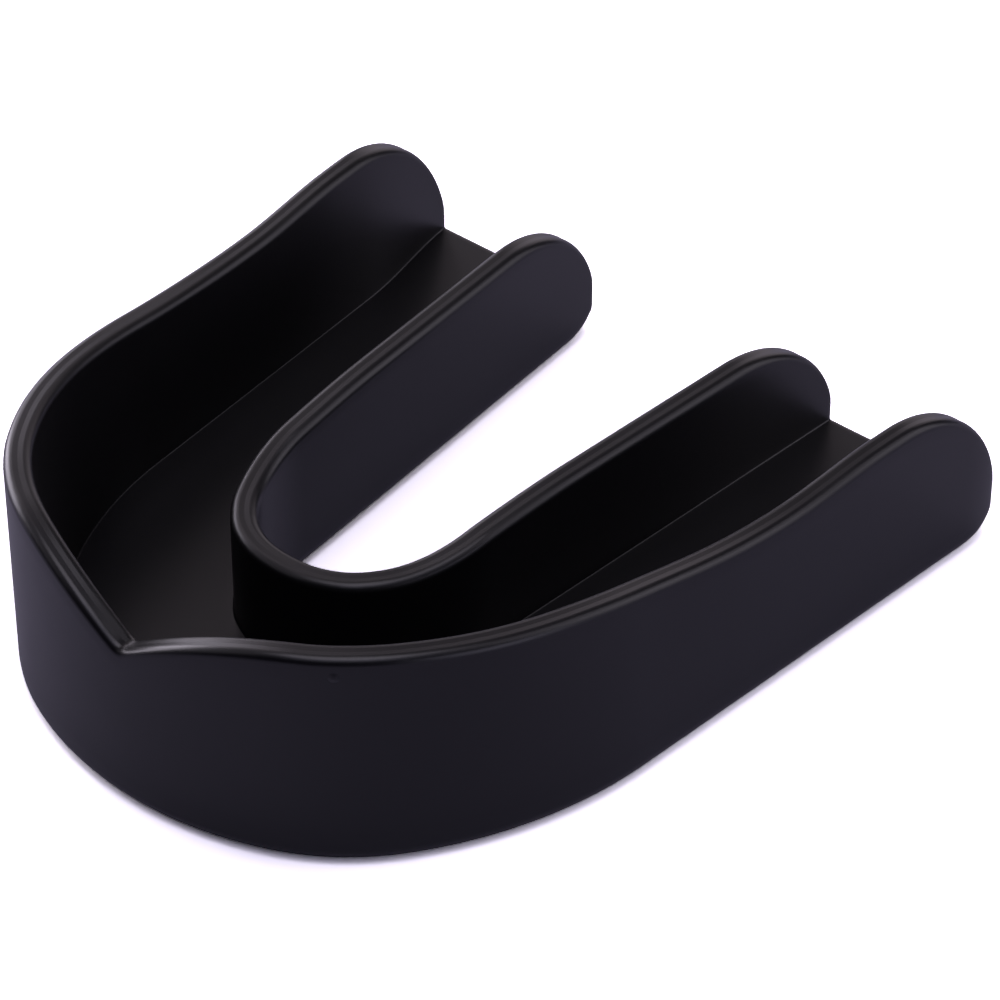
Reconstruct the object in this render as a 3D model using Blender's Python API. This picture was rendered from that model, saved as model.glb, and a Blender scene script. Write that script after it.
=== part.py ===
"""A boil-and-bite mouthguard for boxing and martial arts: a firm outer shell and a soft inner liner.

Both layers are one U-shaped channel section, lofted along the dental arch. The origin is on the
underside, at the middle of the guard's width and depth. -Y is the front of the mouth, the arms
run back to +Y, and the channel opens upwards.
"""

import math

import bmesh
import bpy
from mathutils import Vector

MM = 0.001

# Plan: the outer face is a chain of tangent arcs from the front to the cheek, then a straight arm.
DEPTH = 67.7 * MM
ARCH_ARCS = ((29.5 * MM, 23.0), (20.7 * MM, 30.1), (35.2 * MM, 32.7))  # radius, turn in degrees
ARC_LENGTH = sum(radius * math.radians(turn) for radius, turn in ARCH_ARCS)

# Channel section, measured inwards from the outer face.
RIM_WALL = 2.2 * MM
WALL_DRAFT = 1.1 * MM
CHANNEL_TO_INNER_WALL = 16.3 * MM
FLOOR_TOP = 3.2 * MM
FLOOR_FILLET = 0.3 * MM

# The tongue-side wall stands a little further in beside the arch's tightest arc, to turn gently.
TURN_PLACE = 5.0 * MM  # from the front, along the tongue-side face
TURN_REACH = 3.5 * MM
TURN_BLEND = 0.5 * MM
TURN_EASE = 0.4 * MM

# Layers. The gap stands for the bond line between them.
SHELL_WALL = 0.9 * MM
SHELL_FLOOR = 1.3 * MM
BOND_GAP = 0.3 * MM

# Rim heights along the arch.
FRONT_RIM = 19.5 * MM
CHEEK_RIM = 15.4 * MM
BACK_RIM = 16.0 * MM
RIM_FALL = (17.8 * MM, 58.7 * MM)
BACK_RISE = (58.7 * MM, 69.0 * MM)
INNER_FRONT_RIM = 12.5 * MM
INNER_BACK_RIM = 13.8 * MM
INNER_RISE = (28.1 * MM, 53.1 * MM)
NOTCH_DEPTH = 5.0 * MM
NOTCH_REACH = 14.6 * MM
NOTCH_BLEND = 0.5 * MM

# Around each canine the outer wall stands a little taller and leans inwards at its rim.
CANINE_PLACE = 40.0 * MM
CANINE_SPREAD = 10.0 * MM
CANINE_RISE = 0.3 * MM
CANINE_LEAN = 0.65 * MM

# Rounded edges and arm ends.
BASE_FILLET = 1.5 * MM
RIM_ROUND = 0.7 * MM
OUTER_END_RUN = 12.0 * MM
OUTER_END_DROP = 13.2 * MM
INNER_END_RUN = 11.7 * MM
INNER_END_DROP = 10.2 * MM
BASE_END_RUN = 3.3 * MM
BASE_END_RISE = 2.5 * MM
HIGHEST_BASE = 1.2 * MM
LOWEST_RIM = FLOOR_TOP + RIM_ROUND + 0.5 * MM

ARC_STEP = 1.8 * MM
ARM_STEP = 6.0 * MM
END_STEPS = 8


def smoothstep(start, end, value):
    """0 before start, 1 after end, and an even ease between them."""
    t = min(max((value - start) / (end - start), 0.0), 1.0)
    return t * t * (3.0 - 2.0 * t)


def arch_frame(distance):
    """Point, tangent and outward normal of the outer face, this far along it from the front."""
    x, y, heading = 0.0, -DEPTH / 2, 0.0
    for radius, turn in ARCH_ARCS:
        angle = min(distance / radius, math.radians(turn))
        x += radius * (math.sin(heading + angle) - math.sin(heading))
        y += radius * (math.cos(heading) - math.cos(heading + angle))
        heading += angle
        distance -= radius * angle
    tangent = Vector((math.cos(heading), math.sin(heading), 0.0))
    point = Vector((x, y, 0.0)) + tangent * distance
    return point, tangent, Vector((tangent.y, -tangent.x, 0.0))


def arm_length():
    """Length of the outer face's straight run, from the last arc to the square-cut back end."""
    point, tangent, _ = arch_frame(ARC_LENGTH)
    return (DEPTH / 2 - point.y) / tangent.y


HALF_LENGTH = ARC_LENGTH + arm_length()


def place(station, inward, height):
    """World point of a section point. Past the arcs, sections turn until the last is cut square."""
    side = math.copysign(1.0, station)
    distance = abs(station)
    point, tangent, normal = arch_frame(min(distance, ARC_LENGTH))
    point = point - normal * inward
    if distance > ARC_LENGTH:
        fraction = (distance - ARC_LENGTH) / (HALF_LENGTH - ARC_LENGTH)
        point = point + tangent * (fraction * (DEPTH / 2 - point.y) / tangent.y)
    return Vector((side * point.x, point.y, height))


def end_drop(distance, run, drop):
    """How far an elliptical corner, this long and this deep, has fallen near the back end."""
    into = min(max(distance - (HALF_LENGTH - run), 0.0), run)
    return drop * (1.0 - math.sqrt(1.0 - (into / run) ** 2))


def near_canine(distance):
    """1 beside each canine, easing away to 0 along the arch on both sides."""
    return math.exp(-(((distance - CANINE_PLACE) / CANINE_SPREAD) ** 2))


def outer_rim(distance):
    """Height of the cheek-side wall: high in front with a frenum notch, lower along the cheeks."""
    height = FRONT_RIM - (FRONT_RIM - CHEEK_RIM) * smoothstep(*RIM_FALL, distance)
    height += (BACK_RIM - CHEEK_RIM) * smoothstep(*BACK_RISE, distance)
    height += CANINE_RISE * near_canine(distance)
    from_notch = math.hypot(distance, NOTCH_BLEND)
    height -= NOTCH_DEPTH * max(1.0 - from_notch / NOTCH_REACH, 0.0) ** 2
    return max(height - end_drop(distance, OUTER_END_RUN, OUTER_END_DROP), LOWEST_RIM)


def inner_rim(distance):
    """Height of the tongue-side wall."""
    rise = (INNER_BACK_RIM - INNER_FRONT_RIM) * smoothstep(*INNER_RISE, distance)
    corner = end_drop(distance, INNER_END_RUN, INNER_END_DROP)
    return max(INNER_FRONT_RIM + rise - corner, LOWEST_RIM)


def tongue_face_length(distance):
    """Length along the tongue-side face, from the front, at this place along the outer face."""
    length = 0.0
    for radius, turn in ARCH_ARCS:
        angle = min(distance / radius, math.radians(turn))
        length += (radius - CHANNEL_TO_INNER_WALL - RIM_WALL) * angle
        distance -= radius * angle
    return length + distance


def tongue_wall(distance):
    """Distance from the outer face to the channel side of the tongue-side wall."""
    from_turn = math.hypot(tongue_face_length(distance) - TURN_PLACE, TURN_BLEND)
    return CHANNEL_TO_INNER_WALL + TURN_EASE * max(1.0 - from_turn / TURN_REACH, 0.0) ** 2


def underside(distance):
    """Height of the underside, which is flat but for the rounded back edge."""
    return min(end_drop(distance, BASE_END_RUN, BASE_END_RISE), HIGHEST_BASE)


def wall_draft(distance):
    """How much thicker the outer wall is at the floor. It fades out over the rounded end."""
    return WALL_DRAFT * (1.0 - smoothstep(HALF_LENGTH - OUTER_END_RUN, HALF_LENGTH, distance))


def corner(inward, height, radius, start_degrees, end_degrees, steps=3):
    """Section points of a rounded corner about (inward, height)."""
    points = []
    for step in range(steps + 1):
        angle = math.radians(start_degrees + (end_degrees - start_degrees) * step / steps)
        points.append((inward + radius * math.cos(angle), height + radius * math.sin(angle)))
    return points


def wall_fillet(wall_height):
    """Radius between the floor and a wall this tall. It tightens where a wall runs down to the floor."""
    return min(FLOOR_FILLET, 0.8 * wall_height)


def channel_face(distance, wall, floor, inner_face, dip):
    """An open-topped channel from the outer wall's top, over the floor, to the inner wall's top.

    Both tops end this dip below their rims.
    """
    outer_top = outer_rim(distance) - dip
    inner_top = inner_rim(distance) - dip
    outer_fillet = wall_fillet(outer_top - floor)
    inner_fillet = wall_fillet(inner_top - floor)
    outer_foot = wall + wall_draft(distance) * wall / RIM_WALL
    outer_face = wall + CANINE_LEAN * near_canine(distance)
    return (
        [(outer_face, outer_top)]
        + corner(outer_foot + outer_fillet, floor + outer_fillet, outer_fillet, 180, 270)
        + corner(inner_face - inner_fillet, floor + inner_fillet, inner_fillet, 270, 360)
        + [(inner_face, inner_top)]
    )


def shell_floor(distance):
    """Height of the shell's floor, which thins with the whole floor over the rounded back edge."""
    base = underside(distance)
    return base + (FLOOR_TOP - base) * SHELL_FLOOR / FLOOR_TOP


def shell_section(distance):
    """Closed outline of the outer shell: its outside, then its channel for the liner."""
    base, outer_top, inner_top = underside(distance), outer_rim(distance), inner_rim(distance)
    inner_out = tongue_wall(distance) + RIM_WALL
    lean = CANINE_LEAN * near_canine(distance)
    outside = (
        corner(inner_out - RIM_ROUND, inner_top - RIM_ROUND, RIM_ROUND, 90, 0)
        + corner(inner_out - BASE_FILLET, base + BASE_FILLET, BASE_FILLET, 0, -90)
        + corner(BASE_FILLET, base + BASE_FILLET, BASE_FILLET, 270, 180)
        + corner(lean + RIM_ROUND, outer_top - RIM_ROUND, RIM_ROUND, 180, 90)
    )
    floor = shell_floor(distance)
    return outside + channel_face(distance, SHELL_WALL, floor, inner_out - SHELL_WALL, 0.0)


def liner_section(distance):
    """Closed outline of the liner: the channel that the teeth sit in, then its bonded back."""
    back_wall = SHELL_WALL + BOND_GAP
    inner_wall = tongue_wall(distance)
    back_inner = inner_wall + RIM_WALL - back_wall
    back_floor = shell_floor(distance) + BOND_GAP
    back = channel_face(distance, back_wall, back_floor, back_inner, 0.0)
    front = channel_face(distance, RIM_WALL, FLOOR_TOP, inner_wall, RIM_ROUND)
    outer_face, outer_height = front[0]
    inner_face, inner_height = front[-1]
    outer_round = corner(outer_face - RIM_ROUND, outer_height, RIM_ROUND, 90, 0)
    inner_round = corner(inner_face + RIM_ROUND, inner_height, RIM_ROUND, 180, 90)
    return outer_round + front[1:-1] + inner_round + back[::-1]


def stations():
    """Signed distances of the sections along the arch: close on curves, open on the arms."""
    corner_start = HALF_LENGTH - OUTER_END_RUN
    arc_count = math.ceil(ARC_LENGTH / ARC_STEP)
    arm_count = math.ceil((corner_start - ARC_LENGTH) / ARM_STEP)
    half = [ARC_LENGTH * step / arc_count for step in range(arc_count)]
    half += [
        ARC_LENGTH + (corner_start - ARC_LENGTH) * step / arm_count for step in range(arm_count)
    ]
    for step in range(END_STEPS + 1):
        half.append(corner_start + OUTER_END_RUN * math.sin(math.pi / 2 * step / END_STEPS))
    return [-distance for distance in reversed(half[1:])] + half


def loft(name, section, material, parent):
    """A closed solid through one section at every station, with a flat cap at each arm's end."""
    mesh = bmesh.new()
    rings = []
    for station in stations():
        outline = section(abs(station))
        rings.append([mesh.verts.new(place(station, q, z)) for q, z in outline])
    for ring, following in zip(rings, rings[1:]):
        for index in range(len(ring)):
            after = (index + 1) % len(ring)
            mesh.faces.new((ring[index], ring[after], following[after], following[index]))
    mesh.faces.new(rings[0])
    mesh.faces.new(rings[-1])
    bmesh.ops.recalc_face_normals(mesh, faces=mesh.faces)
    data = bpy.data.meshes.new(name)
    mesh.to_mesh(data)
    mesh.free()
    data.materials.append(material)
    data.shade_smooth()
    data.set_sharp_from_angle(angle=math.radians(35))
    piece = bpy.data.objects.new(name, data)
    piece.parent = parent
    bpy.context.scene.collection.objects.link(piece)
    return piece


def moulded_material(name, colour, roughness):
    material = bpy.data.materials.new(name)
    material.use_nodes = True
    principled = material.node_tree.nodes["Principled BSDF"]
    principled.inputs["Base Color"].default_value = (*colour, 1.0)
    principled.inputs["Roughness"].default_value = roughness
    principled.inputs["Metallic"].default_value = 0.0
    return material


def clear_scene():
    for item in list(bpy.data.objects):
        bpy.data.objects.remove(item, do_unlink=True)


def build():
    clear_scene()
    guard = bpy.data.objects.new("mouthguard", None)
    bpy.context.scene.collection.objects.link(guard)
    shell_black = moulded_material("shell_black", (0.010, 0.010, 0.013), 0.34)
    liner_black = moulded_material("liner_black", (0.009, 0.009, 0.011), 0.38)
    loft("outer_shell", shell_section, shell_black, guard)
    loft("fit_liner", liner_section, liner_black, guard)


build()
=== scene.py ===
"""Looks of a black boil-and-bite mouthguard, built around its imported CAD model.

The CAD model's two plain lofts are replaced by fine ones on the same arch: a firm outer shell and a
soft fit liner, bonded to each other along the middle of both rims. The shell also carries the nub of
its trimmed moulding gate. Lengths are in metres.
"""

import math

import bmesh
import bpy
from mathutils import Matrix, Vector


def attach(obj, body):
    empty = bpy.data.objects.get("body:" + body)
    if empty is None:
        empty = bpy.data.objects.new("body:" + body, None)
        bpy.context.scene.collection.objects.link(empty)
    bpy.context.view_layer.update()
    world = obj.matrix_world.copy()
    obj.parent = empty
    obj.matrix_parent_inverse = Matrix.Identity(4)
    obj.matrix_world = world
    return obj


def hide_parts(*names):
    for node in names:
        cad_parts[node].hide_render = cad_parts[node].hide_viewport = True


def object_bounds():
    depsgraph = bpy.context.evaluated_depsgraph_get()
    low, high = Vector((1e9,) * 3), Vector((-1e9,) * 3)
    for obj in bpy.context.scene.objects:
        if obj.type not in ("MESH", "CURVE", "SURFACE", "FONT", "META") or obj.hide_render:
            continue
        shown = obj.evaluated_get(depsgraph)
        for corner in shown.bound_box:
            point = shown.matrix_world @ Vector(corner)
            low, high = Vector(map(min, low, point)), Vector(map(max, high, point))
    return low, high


MM = 0.001

# Plan, as in the CAD model: tangent arcs from the front to the cheek, then a straight arm.
ARCH_ARCS = ((29.5 * MM, 23.0), (20.7 * MM, 30.1), (35.2 * MM, 32.7))  # radius, turn in degrees
ARC_LENGTH = sum(radius * math.radians(turn) for radius, turn in ARCH_ARCS)

# Channel section, measured inwards from the outer face.
RIM_WALL = 2.2 * MM
WALL_DRAFT = 1.1 * MM
CHANNEL_TO_INNER_WALL = 16.3 * MM
FLOOR_TOP = 3.2 * MM
FLOOR_FILLET = 0.15 * MM
FILLET_SHARE = 0.8  # most of a low wall's height that its fillet takes
BASE_FILLET = 1.5 * MM
LEAST_WALL = 0.1 * MM
RIM_ROUND = 0.7 * MM
ROUND_SHARE = 0.45  # most of a thin rim's thickness that each rounded edge takes

# The hidden face where the two layers meet, and the faint dip that it leaves in the rims.
SEAM_DIP = 0.02 * MM
BOND_FLOOR = 1.5 * MM
BOND_CHAMFER = 0.5 * MM

# The tongue-side wall stands a little further in beside the arch's tightest arc, to turn gently.
TURN_PLACE = 5.0 * MM  # from the front, along the tongue-side face
TURN_REACH = 3.5 * MM
TURN_BLEND = 0.5 * MM
TURN_EASE = 0.4 * MM

# Rim heights along the arch. The front rim's height is the CAD box's.
CHEEK_RIM = 15.4 * MM
BACK_RIM = 16.0 * MM
RIM_FALL = (17.8 * MM, 58.7 * MM)
BACK_RISE = (58.7 * MM, 69.0 * MM)
INNER_FRONT_RIM = 12.5 * MM
INNER_BACK_RIM = 13.8 * MM
INNER_RISE = (28.1 * MM, 53.1 * MM)
NOTCH_DEPTH = 5.0 * MM
NOTCH_REACH = 14.6 * MM
NOTCH_BLEND = 0.5 * MM

# Around each canine the outer wall stands a little taller and leans inwards at its rim.
CANINE_PLACE = 40.0 * MM
CANINE_SPREAD = 10.0 * MM
CANINE_RISE = 0.3 * MM
CANINE_LEAN = 0.65 * MM

# Arm ends.
OUTER_END_RUN = 12.0 * MM
OUTER_END_DROP = 13.2 * MM
INNER_END_RUN = 11.7 * MM
INNER_END_DROP = 10.2 * MM
BASE_END_RUN = 3.3 * MM
BASE_END_RISE = 2.5 * MM
HIGHEST_BASE = 1.2 * MM
LOWEST_RIM = FLOOR_TOP + RIM_ROUND + 0.1 * MM
CHEEK_TURN_IN = 4.0 * MM
CHEEK_TURN_DEPTH = 0.6 * MM
END_EDGE_ROUND = 0.5 * MM

# The nub left by the trimmed moulding gate, on the outer face below the right-hand front rim.
GATE_STATION = 17.5 * MM
GATE_BELOW_RIM = 1.5 * MM
GATE_RADIUS = 0.6 * MM
GATE_HEIGHT = 0.12 * MM
GATE_SINK = 0.03 * MM
GATE_RINGS = 8
GATE_SPOKES = 24

# Mesh density.
NOTCH_STEP = 0.2 * MM
NOTCH_STEP_REACH = 3 * MM
ARC_STEP = 0.5 * MM
ARM_STEP = 1.0 * MM
ARM_STEP_EASE = 2 * MM
END_STEPS = 26
FILLET_STEPS = 7
WALL_STEPS = 12
SHARP_EDGE_DEGREES = 40

# Camera, from the middle of the CAD box.
CAMERA_AZIMUTH = 40.55
CAMERA_ELEVATION = 38.55
CAMERA_DISTANCE = 350.0 * MM
CAMERA_AIM = Vector((4.03, 3.73, -1.75)) * MM
CAMERA_LENS = 163.39
CAMERA_SENSOR = 36.0
CAMERA_CLIP = (0.01, 20.0)

# Studio. Softboxes are named for where they stand: azimuth, elevation, power in watts, colour.
COOL = (0.94, 0.90, 1.16)
PLAIN = (1.0, 0.93, 1.07)
WARM = (1.02, 0.90, 1.0)
SOFTBOXES = {
    "left": (-90, 12, 4.5, PLAIN),
    "back_left": (-112, 12, 1.5, PLAIN),
    "back_left_high": (-112, 40, 0.45, WARM),
    "behind": (-157, 12, 0.75, WARM),
    "behind_high": (-135, 40, 0.15, WARM),
    "right": (90, 12, 1.15, COOL),
    "back_right": (135, 12, 1.1, PLAIN),
    "back_right_high": (135, 40, 0.9, PLAIN),
    "front_left_high": (-45, 40, 0.35, PLAIN),
    "front_right_high": (45, 68, 0.8, COOL),
    "overhead": (0, 90, 2.0, PLAIN),
}
SOFTBOX_SIZE = 0.5
SOFTBOX_DISTANCE = 0.8

# The floor's colour as the camera sees it, bright enough to come out white, and as it bounces light.
FLOOR_SEEN = 2.7
FLOOR_BOUNCE = (0.455, 0.445, 0.54)
FLOOR_HALF_SIDE = 2.0

# Rubber.
SPECULAR = 0.4
SHELL_COLOUR = (0.0025, 0.0024, 0.0034)
LINER_COLOUR = (0.0015, 0.0014, 0.0020)
SHELL_ROUGHNESS = 0.34
LINER_ROUGHNESS = 0.36
ROUGHNESS_SPREAD = 0.05
FLOW_SCALE = 90.0
FLOW_DETAIL = 3.0
GRAIN_SCALE = 5200.0
GRAIN_DETAIL = 2.0
GRAIN_HEIGHT = 0.002 * MM


def smoothstep(start, end, value):
    """0 before start, 1 after end, and an even ease between them."""
    t = min(max((value - start) / (end - start), 0.0), 1.0)
    return t * t * (3.0 - 2.0 * t)


def near_canine(distance):
    """1 beside each canine, easing away to 0 along the arch on both sides."""
    return math.exp(-(((distance - CANINE_PLACE) / CANINE_SPREAD) ** 2))


def tongue_face_length(distance):
    """Length along the tongue-side face, from the front, at this place along the outer face."""
    length = 0.0
    for radius, turn in ARCH_ARCS:
        angle = min(distance / radius, math.radians(turn))
        length += (radius - CHANNEL_TO_INNER_WALL - RIM_WALL) * angle
        distance -= radius * angle
    return length + distance


class Arch:
    """The outer face's line in plan, and heights along it, sized from the CAD box."""

    def __init__(self, low, high):
        self.front = low.y
        self.back = high.y
        self.front_rim = high.z
        end, tangent, _ = self.frame(ARC_LENGTH)
        self.half_length = ARC_LENGTH + (self.back - end.y) / tangent.y

    def frame(self, distance):
        """Point, tangent and outward normal of the outer face, this far along it from the front."""
        x, y, heading = 0.0, self.front, 0.0
        for radius, turn in ARCH_ARCS:
            angle = min(distance / radius, math.radians(turn))
            x += radius * (math.sin(heading + angle) - math.sin(heading))
            y += radius * (math.cos(heading) - math.cos(heading + angle))
            heading += angle
            distance -= radius * angle
        tangent = Vector((math.cos(heading), math.sin(heading), 0.0))
        point = Vector((x, y, 0.0)) + tangent * distance
        return point, tangent, Vector((tangent.y, -tangent.x, 0.0))

    def place(self, station, inward, height):
        """World point of a section point. Past the arcs, sections turn until the last is square."""
        side = math.copysign(1.0, station)
        distance = abs(station)
        point, tangent, normal = self.frame(min(distance, ARC_LENGTH))
        point = point - normal * inward
        if distance > ARC_LENGTH:
            fraction = (distance - ARC_LENGTH) / (self.half_length - ARC_LENGTH)
            point = point + tangent * (fraction * (self.back - point.y) / tangent.y)
        return Vector((side * point.x, point.y, height))

    def end_drop(self, distance, run, drop):
        """How far an elliptical corner, this long and deep, has fallen near the back end."""
        into = min(max(distance - (self.half_length - run), 0.0), run)
        return drop * (1.0 - math.sqrt(1.0 - (into / run) ** 2))

    def outer_rim(self, distance):
        """Height of the cheek-side wall: high in front with a notch, lower along the cheeks."""
        height = self.front_rim - (self.front_rim - CHEEK_RIM) * smoothstep(*RIM_FALL, distance)
        height += (BACK_RIM - CHEEK_RIM) * smoothstep(*BACK_RISE, distance)
        height += CANINE_RISE * near_canine(distance)
        from_notch = math.hypot(distance, NOTCH_BLEND)
        height -= NOTCH_DEPTH * max(1.0 - from_notch / NOTCH_REACH, 0.0) ** 2
        return max(height - self.end_drop(distance, OUTER_END_RUN, OUTER_END_DROP), LOWEST_RIM)

    def inner_rim(self, distance):
        """Height of the tongue-side wall."""
        rise = (INNER_BACK_RIM - INNER_FRONT_RIM) * smoothstep(*INNER_RISE, distance)
        corner = self.end_drop(distance, INNER_END_RUN, INNER_END_DROP)
        return max(INNER_FRONT_RIM + rise - corner, LOWEST_RIM)

    def tongue_wall(self, distance):
        """Distance from the outer face to the channel side of the tongue-side wall."""
        from_turn = math.hypot(tongue_face_length(distance) - TURN_PLACE, TURN_BLEND)
        return CHANNEL_TO_INNER_WALL + TURN_EASE * max(1.0 - from_turn / TURN_REACH, 0.0) ** 2

    def underside(self, distance):
        """Height of the underside, which is flat but for the rounded back edge."""
        return min(self.end_drop(distance, BASE_END_RUN, BASE_END_RISE), HIGHEST_BASE)

    def draft(self, distance):
        """How much thicker the outer wall is at the floor. It fades out over the rounded end."""
        start = self.half_length - OUTER_END_RUN
        return WALL_DRAFT * (1.0 - smoothstep(start, self.half_length, distance))

    def stations(self):
        """Signed distances of the sections along the arch, closest at the notch and the ends."""
        corner_start = self.half_length - OUTER_END_RUN
        half = [0.0]
        while half[-1] < corner_start:
            here = half[-1]
            step = NOTCH_STEP + (ARC_STEP - NOTCH_STEP) * smoothstep(0.0, NOTCH_STEP_REACH, here)
            past_arcs = smoothstep(ARC_LENGTH - ARM_STEP_EASE, ARC_LENGTH, here)
            step += (ARM_STEP - ARC_STEP) * past_arcs
            half.append(here + step)
        half[-1] = corner_start
        for step in range(1, END_STEPS + 1):
            half.append(corner_start + OUTER_END_RUN * math.sin(math.pi / 2 * step / END_STEPS))
        return [-distance for distance in reversed(half[1:])] + half


class Section:
    """Measurements of the channel this far along the arch, with the arm's end edge rounded over."""

    def __init__(self, arch, distance):
        over = arch.end_drop(distance, END_EDGE_ROUND, END_EDGE_ROUND)
        self.outer_out = arch.end_drop(distance, CHEEK_TURN_IN, CHEEK_TURN_DEPTH) + over
        self.outer_in = RIM_WALL - over
        self.outer_foot = self.outer_in + arch.draft(distance)
        inner_wall = arch.tongue_wall(distance)
        self.inner_in = inner_wall + over
        self.inner_out = inner_wall + RIM_WALL - over
        self.lean = CANINE_LEAN * near_canine(distance)
        self.base = arch.underside(distance) + over
        self.floor = FLOOR_TOP - over
        self.outer_top = arch.outer_rim(distance) - over
        self.inner_top = arch.inner_rim(distance) - over
        self.outer_round = min(RIM_ROUND, ROUND_SHARE * (self.outer_in - self.outer_out))
        self.inner_round = min(RIM_ROUND, ROUND_SHARE * (self.inner_out - self.inner_in))
        wall_top = self.inner_top - self.inner_round
        self.foot_round = min(BASE_FILLET, wall_top - self.base - LEAST_WALL)
        self.outer_seam = (self.outer_out + self.outer_in) / 2 + self.lean
        self.inner_seam = (self.inner_in + self.inner_out) / 2


def corner(inward, height, radius, start_degrees, end_degrees):
    """Section points of a rounded corner about (inward, height)."""
    points = []
    for step in range(FILLET_STEPS + 1):
        angle = math.radians(start_degrees + (end_degrees - start_degrees) * step / FILLET_STEPS)
        points.append((inward + radius * math.cos(angle), height + radius * math.sin(angle)))
    return points


def straight(start, end):
    """Section points strictly between two points."""
    return [
        (
            start[0] + (end[0] - start[0]) * step / WALL_STEPS,
            start[1] + (end[1] - start[1]) * step / WALL_STEPS,
        )
        for step in range(1, WALL_STEPS)
    ]


def joined(*runs):
    """The runs in order, with wall points filled in between each and the next."""
    points = list(runs[0])
    for run in runs[1:]:
        points += straight(points[-1], run[0]) + list(run)
    return points


def outside_curve(section):
    """The shell's visible skin, from the inner rim, underneath, to the outer rim."""
    inner_round, outer_round = section.inner_round, section.outer_round
    foot_round = section.foot_round
    foot = section.base + foot_round
    return joined(
        [(section.inner_seam, section.inner_top - SEAM_DIP)],
        corner(section.inner_out - inner_round, section.inner_top - inner_round, inner_round, 90, 0),
        corner(section.inner_out - foot_round, foot, foot_round, 0, -90),
        corner(section.outer_out + foot_round, foot, foot_round, 270, 180),
        corner(
            section.outer_out + section.lean + outer_round,
            section.outer_top - outer_round,
            outer_round,
            180,
            90,
        ),
        [(section.outer_seam, section.outer_top - SEAM_DIP)],
    )


def wall_fillet(wall_height):
    """Radius between the floor and a wall this tall. It tightens where a wall runs down to it."""
    return min(FLOOR_FILLET, FILLET_SHARE * wall_height)


def channel_curve(section):
    """The liner's visible skin, from the outer rim, down the channel, to the inner rim."""
    inner_round, outer_round = section.inner_round, section.outer_round
    outer_fillet = wall_fillet(section.outer_top - outer_round - section.floor)
    inner_fillet = wall_fillet(section.inner_top - inner_round - section.floor)
    foot = section.outer_foot + outer_fillet
    far_foot = section.inner_in - inner_fillet
    return joined(
        [(section.outer_seam, section.outer_top - SEAM_DIP)],
        corner(
            section.outer_in + section.lean - outer_round,
            section.outer_top - outer_round,
            outer_round,
            90,
            0,
        ),
        corner(foot, section.floor + outer_fillet, outer_fillet, 180, 270),
        corner(far_foot, section.floor + inner_fillet, inner_fillet, 270, 360),
        corner(section.inner_in + inner_round, section.inner_top - inner_round, inner_round, 180, 90),
        [(section.inner_seam, section.inner_top - SEAM_DIP)],
    )


def bond_curve(section):
    """The hidden face where the layers meet, from the inner rim to the outer rim.

    Its lower corners are cut off, to stay inside the shell's rounded foot.
    """
    level = section.base + (section.floor - section.base) * BOND_FLOOR / FLOOR_TOP
    outer_side = section.outer_seam - section.lean
    return joined(
        [(section.inner_seam, section.inner_top - SEAM_DIP)],
        [(section.inner_seam, level + BOND_CHAMFER)],
        [(section.inner_seam - BOND_CHAMFER, level)],
        [(outer_side + BOND_CHAMFER, level)],
        [(outer_side, level + BOND_CHAMFER)],
        [(section.outer_seam, section.outer_top - SEAM_DIP)],
    )


def shell_outline(section):
    """The outer shell's closed outline."""
    return outside_curve(section) + bond_curve(section)[-2:0:-1]


def liner_outline(section):
    """The fit liner's closed outline."""
    return channel_curve(section) + bond_curve(section)[1:-1]


def finished(name, mesh, material):
    """A smooth-shaded object from a closed bmesh."""
    bmesh.ops.recalc_face_normals(mesh, faces=mesh.faces)
    data = bpy.data.meshes.new(name)
    mesh.to_mesh(data)
    mesh.free()
    data.materials.append(material)
    data.shade_smooth()
    data.set_sharp_from_angle(angle=math.radians(SHARP_EDGE_DEGREES))
    piece = bpy.data.objects.new(name, data)
    bpy.context.scene.collection.objects.link(piece)
    return piece


def loft(name, arch, outline, material):
    """A closed solid through one section at every station, with a flat cap at each arm's end."""
    mesh = bmesh.new()
    rings = []
    for station in arch.stations():
        points = outline(Section(arch, abs(station)))
        rings.append([mesh.verts.new(arch.place(station, q, z)) for q, z in points])
    for ring, following in zip(rings, rings[1:]):
        for index in range(len(ring)):
            after = (index + 1) % len(ring)
            mesh.faces.new((ring[index], ring[after], following[after], following[index]))
    mesh.faces.new(rings[0])
    mesh.faces.new(rings[-1])
    return finished(name, mesh, material)


def gate_mark(arch, material):
    """A low round nub with a soft bell profile, sunk a little into the outer face."""
    _, tangent, normal = arch.frame(GATE_STATION)
    centre = arch.place(GATE_STATION, 0.0, arch.outer_rim(GATE_STATION) - GATE_BELOW_RIM)
    mesh = bmesh.new()
    crown = mesh.verts.new(centre + normal * GATE_HEIGHT)
    rings = []
    for ring in range(1, GATE_RINGS + 1):
        fraction = ring / GATE_RINGS
        proud = GATE_HEIGHT * (1.0 - smoothstep(0.0, 1.0, fraction)) - GATE_SINK * fraction
        circle = []
        for spoke in range(GATE_SPOKES):
            angle = math.tau * spoke / GATE_SPOKES
            across = tangent * math.cos(angle) + Vector((0.0, 0.0, math.sin(angle)))
            circle.append(mesh.verts.new(centre + across * (GATE_RADIUS * fraction) + normal * proud))
        rings.append(circle)
    for spoke in range(GATE_SPOKES):
        after = (spoke + 1) % GATE_SPOKES
        mesh.faces.new((crown, rings[0][spoke], rings[0][after]))
        for ring, outside in zip(rings, rings[1:]):
            mesh.faces.new((ring[spoke], outside[spoke], outside[after], ring[after]))
    mesh.faces.new(rings[-1])
    return finished("gate_mark", mesh, material)


def node(tree, kind, **settings):
    """A shader node with these inputs or properties set."""
    made = tree.nodes.new(kind)
    for name, value in settings.items():
        if name in made.inputs:
            made.inputs[name].default_value = value
        else:
            setattr(made, name, value)
    return made


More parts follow.
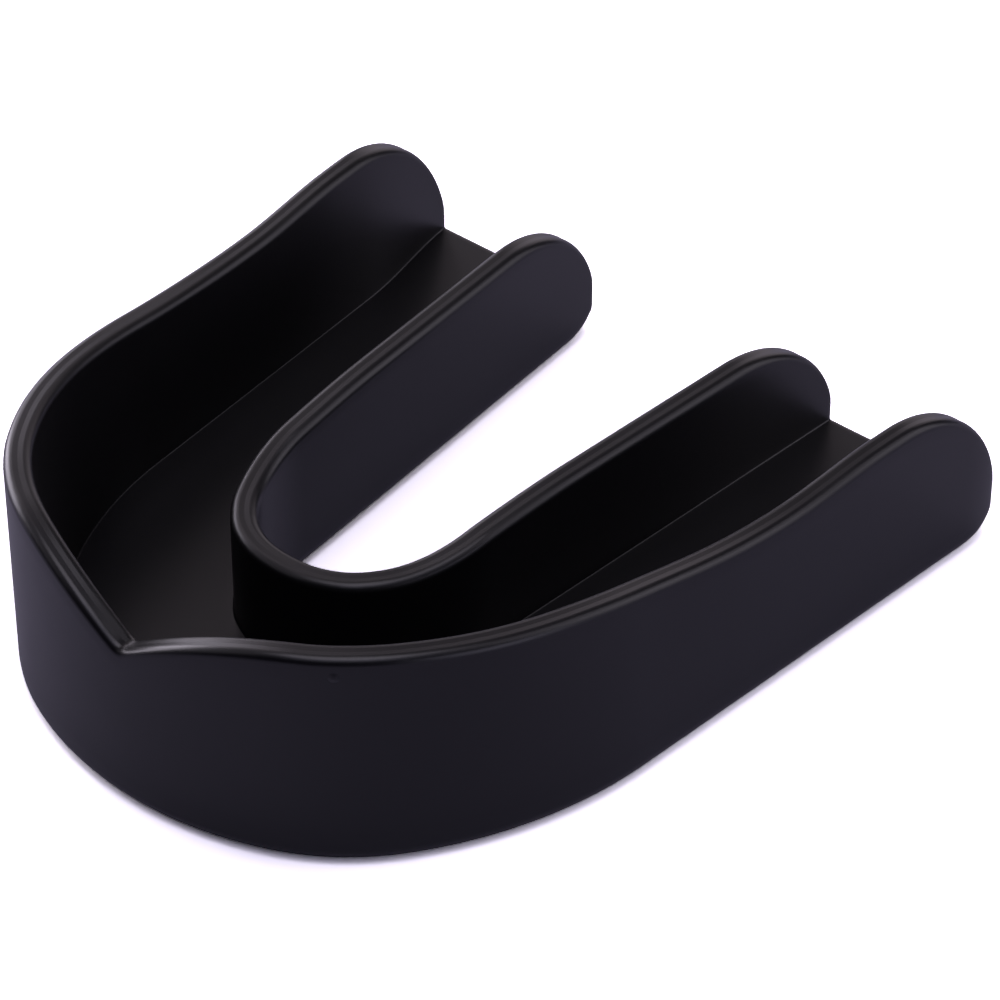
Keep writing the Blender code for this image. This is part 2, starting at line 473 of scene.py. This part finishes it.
def moulded_rubber(name, colour, roughness):
    """Black thermoplastic rubber: satin, with a fine moulded grain and faint flow marks."""
    material = bpy.data.materials.new(name)
    material.use_nodes = True
    tree = material.node_tree
    link = tree.links.new
    principled = tree.nodes["Principled BSDF"]
    principled.inputs["Base Color"].default_value = (*colour, 1.0)
    principled.inputs["Specular IOR Level"].default_value = SPECULAR

    place = node(tree, "ShaderNodeTexCoord")
    flow = node(tree, "ShaderNodeTexNoise", Scale=FLOW_SCALE, Detail=FLOW_DETAIL)
    grain = node(tree, "ShaderNodeTexNoise", Scale=GRAIN_SCALE, Detail=GRAIN_DETAIL)
    link(place.outputs["Object"], flow.inputs["Vector"])
    link(place.outputs["Object"], grain.inputs["Vector"])

    spread = node(tree, "ShaderNodeMapRange")
    spread.inputs["To Min"].default_value = roughness - ROUGHNESS_SPREAD
    spread.inputs["To Max"].default_value = roughness + ROUGHNESS_SPREAD
    link(flow.outputs["Fac"], spread.inputs["Value"])
    link(spread.outputs["Result"], principled.inputs["Roughness"])

    texture = node(tree, "ShaderNodeBump", Strength=1.0, Distance=GRAIN_HEIGHT)
    link(grain.outputs["Fac"], texture.inputs["Height"])
    link(texture.outputs["Normal"], principled.inputs["Normal"])
    return material


def pale_floor():
    """A wide plain floor. The camera sees it white, but what it bounces onto the guard is dimmer."""
    mesh = bmesh.new()
    bmesh.ops.create_grid(mesh, x_segments=1, y_segments=1, size=FLOOR_HALF_SIDE)
    data = bpy.data.meshes.new("floor")
    mesh.to_mesh(data)
    mesh.free()
    material = bpy.data.materials.new("pale_floor")
    material.use_nodes = True
    tree = material.node_tree
    tree.nodes.clear()
    seen = node(tree, "ShaderNodeBsdfDiffuse", Color=(FLOOR_SEEN, FLOOR_SEEN, FLOOR_SEEN, 1.0))
    bounced = node(tree, "ShaderNodeBsdfDiffuse", Color=(*FLOOR_BOUNCE, 1.0))
    ray = node(tree, "ShaderNodeLightPath")
    mix = node(tree, "ShaderNodeMixShader")
    output = node(tree, "ShaderNodeOutputMaterial")
    tree.links.new(ray.outputs["Is Camera Ray"], mix.inputs[0])
    tree.links.new(bounced.outputs[0], mix.inputs[1])
    tree.links.new(seen.outputs[0], mix.inputs[2])
    tree.links.new(mix.outputs[0], output.inputs["Surface"])
    data.materials.append(material)
    floor = bpy.data.objects.new("floor", data)
    bpy.context.scene.collection.objects.link(floor)


def direction(azimuth, elevation):
    """Unit vector towards a place seen at this azimuth, counted from -Y towards +X."""
    turn = math.radians(azimuth)
    lift = math.radians(elevation)
    return Vector(
        (math.sin(turn) * math.cos(lift), -math.cos(turn) * math.cos(lift), math.sin(lift))
    )


def softbox(name, target, azimuth, elevation, power, colour):
    """A square area light that faces the target from this direction."""
    data = bpy.data.lights.new(name, "AREA")
    data.size = SOFTBOX_SIZE
    data.energy = power
    data.color = colour
    light = bpy.data.objects.new(name, data)
    towards = direction(azimuth, elevation)
    light.location = target + towards * SOFTBOX_DISTANCE
    light.rotation_euler = towards.to_track_quat("Z", "Y").to_euler()
    light.visible_camera = False
    bpy.context.scene.collection.objects.link(light)


def camera(centre):
    """The camera, aimed close to the middle of the guard."""
    data = bpy.data.cameras.new("camera")
    data.lens = CAMERA_LENS
    data.sensor_width = CAMERA_SENSOR
    data.clip_start, data.clip_end = CAMERA_CLIP
    holder = bpy.data.objects.new("camera", data)
    towards = direction(CAMERA_AZIMUTH, CAMERA_ELEVATION)
    holder.location = centre + CAMERA_AIM + towards * CAMERA_DISTANCE
    holder.rotation_euler = towards.to_track_quat("Z", "Y").to_euler()
    bpy.context.scene.collection.objects.link(holder)
    bpy.context.scene.camera = holder


def studio(centre):
    """Softboxes and a floor, with no light from the world behind them."""
    world = bpy.data.worlds.new("studio")
    world.use_nodes = True
    background = world.node_tree.nodes["Background"]
    background.inputs["Color"].default_value = (1.0, 1.0, 1.0, 1.0)
    background.inputs["Strength"].default_value = 0.0
    bpy.context.scene.world = world
    bpy.context.scene.view_settings.view_transform = "Standard"
    for name, settings in SOFTBOXES.items():
        softbox(name, centre, *settings)
    pale_floor()


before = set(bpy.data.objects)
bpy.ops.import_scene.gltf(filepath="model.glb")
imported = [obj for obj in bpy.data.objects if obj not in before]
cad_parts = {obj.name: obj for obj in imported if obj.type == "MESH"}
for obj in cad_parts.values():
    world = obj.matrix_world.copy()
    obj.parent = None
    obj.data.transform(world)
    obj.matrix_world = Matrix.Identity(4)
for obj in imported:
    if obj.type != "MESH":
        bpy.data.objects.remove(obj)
cad_low, cad_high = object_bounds()
middle = (Vector(cad_low) + Vector(cad_high)) / 2
camera(middle)
studio(middle)

guard_arch = Arch(Vector(cad_low), Vector(cad_high))
shell_rubber = moulded_rubber("shell_rubber", SHELL_COLOUR, SHELL_ROUGHNESS)
liner_rubber = moulded_rubber("liner_rubber", LINER_COLOUR, LINER_ROUGHNESS)
shell = loft("outer_shell_surface", guard_arch, shell_outline, shell_rubber)
liner = loft("fit_liner_surface", guard_arch, liner_outline, liner_rubber)
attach(shell, "root")
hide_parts("outer_shell")
gate = gate_mark(guard_arch, shell_rubber)
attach(gate, "root")
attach(liner, "root")
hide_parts("fit_liner")
